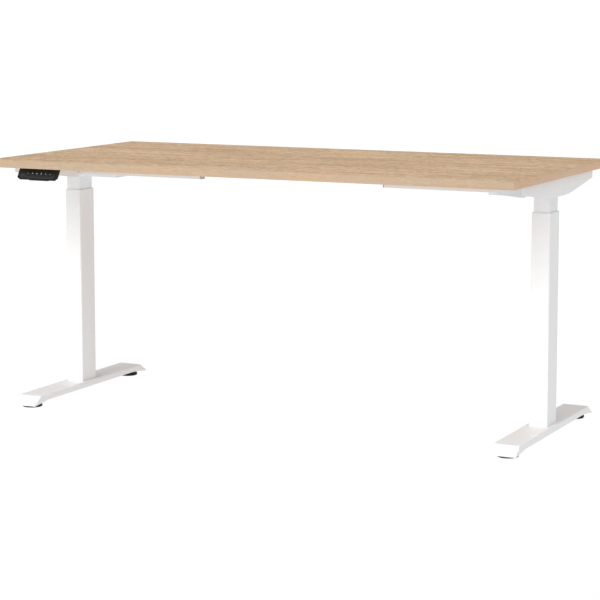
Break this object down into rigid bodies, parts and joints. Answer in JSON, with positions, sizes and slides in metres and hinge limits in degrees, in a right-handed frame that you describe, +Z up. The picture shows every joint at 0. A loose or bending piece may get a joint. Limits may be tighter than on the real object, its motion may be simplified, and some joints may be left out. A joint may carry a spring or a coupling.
{
  "type": "height adjustable desk",
  "caption": "Electric sit-stand desk with a rectangular wood-look top, two telescopic columns on T-shaped feet and a six-key handset under the front edge.",
  "frame": {"origin": "on the floor, under the middle of the tabletop", "axes": "+X to the right of the person who sits at the desk, -Y towards that person, +Z up"},
  "size_m": [1.6, 0.8, 0.74],
  "materials": {
    "oak_decor": "matt laminate with an oak grain",
    "oak_edge": "matt edge band, oak grain",
    "white_powder_coat": "fine-textured white powder coat",
    "zinc_steel": "zinc plated",
    "cast_aluminium": "as cast",
    "motor_steel": "black painted can",
    "bearing_steel": "ground steel",
    "acetal": "natural acetal",
    "gear_brass": "machined",
    "black_plastic": "fine moulded texture",
    "grey_plastic": "fine moulded texture",
    "handset_face": "smooth matt, smoked over the display",
    "circuit_board": "solder resist",
    "black_rubber": "moulded, slightly glossy",
    "key_plastic": "matt key with a white mark"
  },
  "bodies": {
    "base_left": {"foot_left": "white_powder_coat", "column_outer_left": "white_powder_coat", "upper_glide_left": "acetal", "nut_tube_left": "zinc_steel", "spindle_nut_left": "acetal", "foot_bolts_left": "zinc_steel"},
    "lift_frame": {"tabletop_board": "oak_decor", "edge_bands": "oak_edge", "side_arm_left": "white_powder_coat", "side_arm_right": "white_powder_coat", "outer_rail_front_left": "white_powder_coat", "outer_rail_front_right": "white_powder_coat", "outer_rail_rear_left": "white_powder_coat", "outer_rail_rear_right": "white_powder_coat", "inner_rails": "white_powder_coat", "rail_bushes": "grey_plastic", "rail_clamp_screws": "zinc_steel", "frame_screws": "zinc_steel", "tabletop_screws": "zinc_steel", "head_bracket_left": "white_powder_coat", "head_bracket_right": "white_powder_coat", "gearbox_left": "cast_aluminium", "gearbox_right": "cast_aluminium", "gearbox_lids": "cast_aluminium", "gearbox_screws": "zinc_steel", "motor_left": "motor_steel", "motor_right": "motor_steel", "spindle_bearings": "bearing_steel", "column_inner_left": "white_powder_coat", "column_inner_right": "white_powder_coat", "lower_glides": "acetal", "control_box_case": "black_plastic", "control_box_lid": "black_plastic", "control_board": "circuit_board", "socket_block": "black_plastic", "handset_case": "black_plastic", "handset_panel": "handset_face", "handset_board": "circuit_board"},
    "base_right": {"foot_right": "white_powder_coat", "column_outer_right": "white_powder_coat", "upper_glide_right": "acetal", "nut_tube_right": "zinc_steel", "spindle_nut_right": "acetal", "foot_bolts_right": "zinc_steel"},
    "drive_left": {"spindle_left": "bearing_steel", "crown_gear_left": "gear_brass"},
    "pinion_left": {"pinion_shaft_left": "bearing_steel"},
    "drive_right": {"spindle_right": "bearing_steel", "crown_gear_right": "gear_brass"},
    "pinion_right": {"pinion_shaft_right": "bearing_steel"},
    "levelling_front_left": {"levelling_foot_front_left": "black_rubber"},
    "levelling_rear_left": {"levelling_foot_rear_left": "black_rubber"},
    "levelling_front_right": {"levelling_foot_front_right": "black_rubber"},
    "levelling_rear_right": {"levelling_foot_rear_right": "black_rubber"},
    "key_preset_1": {"button_preset_1": "key_plastic"},
    "key_preset_2": {"button_preset_2": "key_plastic"},
    "key_preset_3": {"button_preset_3": "key_plastic"},
    "key_store": {"button_store": "key_plastic"},
    "key_up": {"button_up": "key_plastic"},
    "key_down": {"button_down": "key_plastic"}
  },
  "joints": [
    {"name": "lift", "type": "slide", "parent": "base_left", "child": "lift_frame", "axis": [0, 0, 1], "range_m": [-0.03, 0.45]},
    {"name": "lift_right", "type": "slide", "parent": "lift_frame", "child": "base_right", "axis": [0, 0, -1], "range_m": [-0.03, 0.45]},
    {"name": "spindle_turn_left", "type": "hinge", "parent": "lift_frame", "child": "drive_left", "pos_m": [-0.747, 0, 0.69], "axis": [0, 0, 1], "range_deg": [-680, 10130]},
    {"name": "spindle_turn_right", "type": "hinge", "parent": "lift_frame", "child": "drive_right", "pos_m": [0.747, 0, 0.69], "axis": [0, 0, 1], "range_deg": [-680, 10130]},
    {"name": "pinion_turn_left", "type": "hinge", "parent": "lift_frame", "child": "pinion_left", "pos_m": [-0.7245, 0, 0.6886], "axis": [1, 0, 0], "range_deg": [-2030, 30380]},
    {"name": "pinion_turn_right", "type": "hinge", "parent": "lift_frame", "child": "pinion_right", "pos_m": [0.7245, 0, 0.6886], "axis": [-1, 0, 0], "range_deg": [-2030, 30380]},
    {"name": "level_front_left", "type": "slide", "parent": "base_left", "child": "levelling_front_left", "axis": [0, 0, -1], "range_m": [-0.003, 0.01]},
    {"name": "level_rear_left", "type": "slide", "parent": "base_left", "child": "levelling_rear_left", "axis": [0, 0, -1], "range_m": [-0.003, 0.01]},
    {"name": "level_front_right", "type": "slide", "parent": "base_right", "child": "levelling_front_right", "axis": [0, 0, -1], "range_m": [-0.003, 0.01]},
    {"name": "level_rear_right", "type": "slide", "parent": "base_right", "child": "levelling_rear_right", "axis": [0, 0, -1], "range_m": [-0.003, 0.01]},
    {"name": "press_preset_1", "type": "slide", "parent": "lift_frame", "child": "key_preset_1", "axis": [0, 0.8448, -0.5351], "range_m": [0, 0.001], "stiffness_N_per_m": 600, "springref_m": -0.0005},
    {"name": "press_preset_2", "type": "slide", "parent": "lift_frame", "child": "key_preset_2", "axis": [0, 0.8448, -0.5351], "range_m": [0, 0.001], "stiffness_N_per_m": 600, "springref_m": -0.0005},
    {"name": "press_preset_3", "type": "slide", "parent": "lift_frame", "child": "key_preset_3", "axis": [0, 0.8448, -0.5351], "range_m": [0, 0.001], "stiffness_N_per_m": 600, "springref_m": -0.0005},
    {"name": "press_store", "type": "slide", "parent": "lift_frame", "child": "key_store", "axis": [0, 0.8448, -0.5351], "range_m": [0, 0.001], "stiffness_N_per_m": 600, "springref_m": -0.0005},
    {"name": "press_up", "type": "slide", "parent": "lift_frame", "child": "key_up", "axis": [0, 0.8448, -0.5351], "range_m": [0, 0.001], "stiffness_N_per_m": 600, "springref_m": -0.0005},
    {"name": "press_down", "type": "slide", "parent": "lift_frame", "child": "key_down", "axis": [0, 0.8448, -0.5351], "range_m": [0, 0.001], "stiffness_N_per_m": 600, "springref_m": -0.0005}
  ],
  "couplings": [
    {"joint": "lift_right", "follows": "lift", "ratio": 1},
    {"joint": "spindle_turn_left", "follows": "lift", "rad_per_m": 392.7},
    {"joint": "spindle_turn_right", "follows": "lift", "rad_per_m": 392.7},
    {"joint": "pinion_turn_left", "follows": "lift", "rad_per_m": 1178.1},
    {"joint": "pinion_turn_right", "follows": "lift", "rad_per_m": 1178.1}
  ]
}
